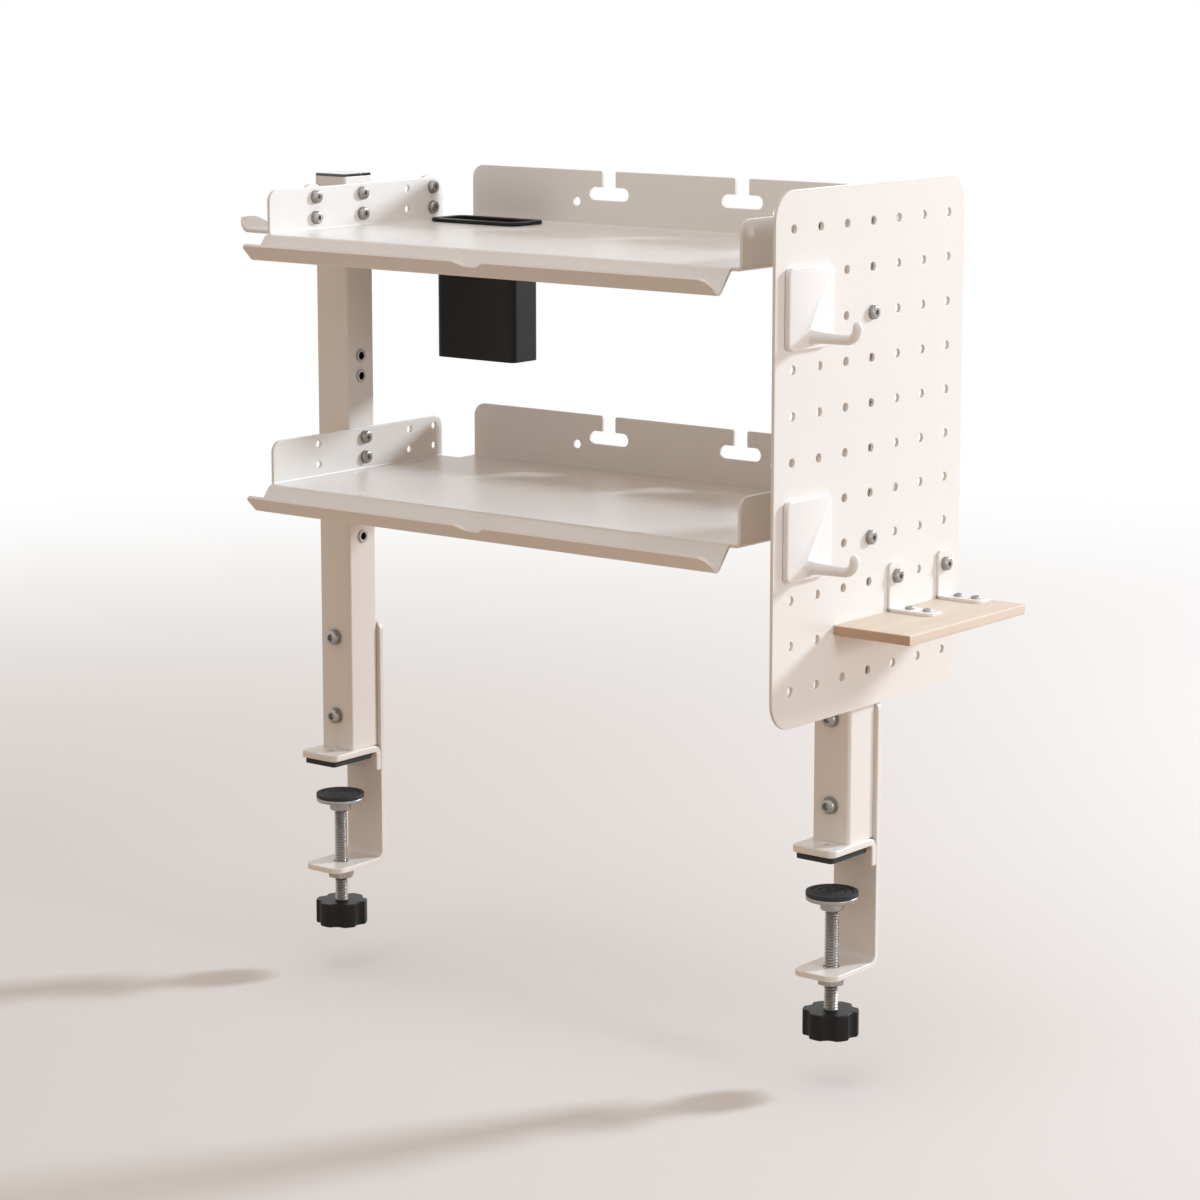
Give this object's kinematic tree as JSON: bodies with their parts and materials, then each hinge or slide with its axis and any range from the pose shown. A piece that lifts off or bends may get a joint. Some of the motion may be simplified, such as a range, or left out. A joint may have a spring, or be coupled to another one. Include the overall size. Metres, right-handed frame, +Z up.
{
  "type": "clamp-on desk shelf",
  "caption": "Desk shelf with folded steel trays on square posts that clamp to a desk edge, with a side pegboard, peg hooks, a wooden ledge, headphone hooks and a pen holder.",
  "frame": {"origin": "on the desk top under the foot pads, midway between the two posts, at the depth of their centre line", "axes": "+X to the user's right along the desk edge, +Y away from the user, +Z up"},
  "size_m": [0.5791, 0.2354, 0.579],
  "materials": {
    "ivory_steel": "warm off-white powder coat, fine satin texture",
    "zinc_steel": "bright zinc plate",
    "black_plastic": "black moulded plastic, fine matt texture",
    "white_plastic": "cool white moulded plastic, satin",
    "black_rubber": "matt black rubber",
    "pale_wood": "pale straight-grained wood with a clear matt finish"
  },
  "bodies": {
    "frame": {"left_post": "ivory_steel", "left_post_cap": "black_plastic", "left_base_bracket": "ivory_steel", "left_desk_pad": "black_rubber", "left_clamp_bar": "ivory_steel", "left_bar_bolts": "zinc_steel", "left_bar_washers": "zinc_steel", "left_bar_nuts": "zinc_steel", "left_jaw_nut": "zinc_steel", "left_rivet_nuts": "zinc_steel", "right_post": "ivory_steel", "right_post_cap": "black_plastic", "right_base_bracket": "ivory_steel", "right_desk_pad": "black_rubber", "right_clamp_bar": "ivory_steel", "right_bar_bolts": "zinc_steel", "right_bar_washers": "zinc_steel", "right_bar_nuts": "zinc_steel", "right_jaw_nut": "zinc_steel", "right_rivet_nuts": "zinc_steel", "upper_tray": "ivory_steel", "upper_tray_screws": "zinc_steel", "upper_tray_washers": "zinc_steel", "lower_tray": "ivory_steel", "lower_tray_screws": "zinc_steel", "lower_tray_washers": "zinc_steel", "front_headphone_hook": "ivory_steel", "rear_headphone_hook": "ivory_steel", "headphone_hook_screws": "zinc_steel", "headphone_hook_washers": "zinc_steel", "headphone_hook_nuts": "zinc_steel", "pegboard": "ivory_steel", "pegboard_rivet_nuts": "zinc_steel", "pegboard_washers": "zinc_steel", "pegboard_screws": "zinc_steel", "peg_ledge": "pale_wood", "near_ledge_bracket": "ivory_steel", "far_ledge_bracket": "ivory_steel", "ledge_washers": "zinc_steel", "ledge_bolts": "zinc_steel", "ledge_nuts": "zinc_steel", "ledge_wood_screws": "zinc_steel"},
    "left_foot": {"left_pressure_plate": "zinc_steel", "left_pressure_pad": "black_rubber"},
    "left_screw": {"left_clamp_screw": "zinc_steel", "left_clamp_knob": "black_plastic"},
    "right_foot": {"right_pressure_plate": "zinc_steel", "right_pressure_pad": "black_rubber"},
    "right_screw": {"right_clamp_screw": "zinc_steel", "right_clamp_knob": "black_plastic"},
    "pen_holder": {"pen_holder": "black_plastic"},
    "upper_peg_hook": {"upper_peg_hook": "white_plastic"},
    "lower_peg_hook": {"lower_peg_hook": "white_plastic"}
  },
  "joints": [
    {"name": "left_foot_slide", "type": "slide", "parent": "frame", "child": "left_foot", "axis": [0, 0, 1], "range_m": [-0.034, 0.015]},
    {"name": "left_screw_turn", "type": "hinge", "parent": "left_foot", "child": "left_screw", "pos_m": [-0.225, -0.012, -0.08], "axis": [0, 0, 1], "range_deg": [-6138, 2718]},
    {"name": "right_foot_slide", "type": "slide", "parent": "frame", "child": "right_foot", "axis": [0, 0, 1], "range_m": [-0.034, 0.015]},
    {"name": "right_screw_turn", "type": "hinge", "parent": "right_foot", "child": "right_screw", "pos_m": [0.225, -0.012, -0.08], "axis": [0, 0, 1], "range_deg": [-6138, 2718]},
    {"name": "pen_holder_lift", "type": "slide", "parent": "frame", "child": "pen_holder", "axis": [0, 0, 1], "range_m": [0, 0.105]},
    {"name": "upper_peg_hook_pull", "type": "slide", "parent": "frame", "child": "upper_peg_hook", "axis": [1, 0, 0], "range_m": [0, 0.006]},
    {"name": "lower_peg_hook_pull", "type": "slide", "parent": "frame", "child": "lower_peg_hook", "axis": [1, 0, 0], "range_m": [0, 0.006]}
  ],
  "couplings": [
    {"joint": "left_screw_turn", "follows": "left_foot_slide", "rad_per_m": 3141.6},
    {"joint": "right_screw_turn", "follows": "right_foot_slide", "rad_per_m": 3141.6}
  ]
}
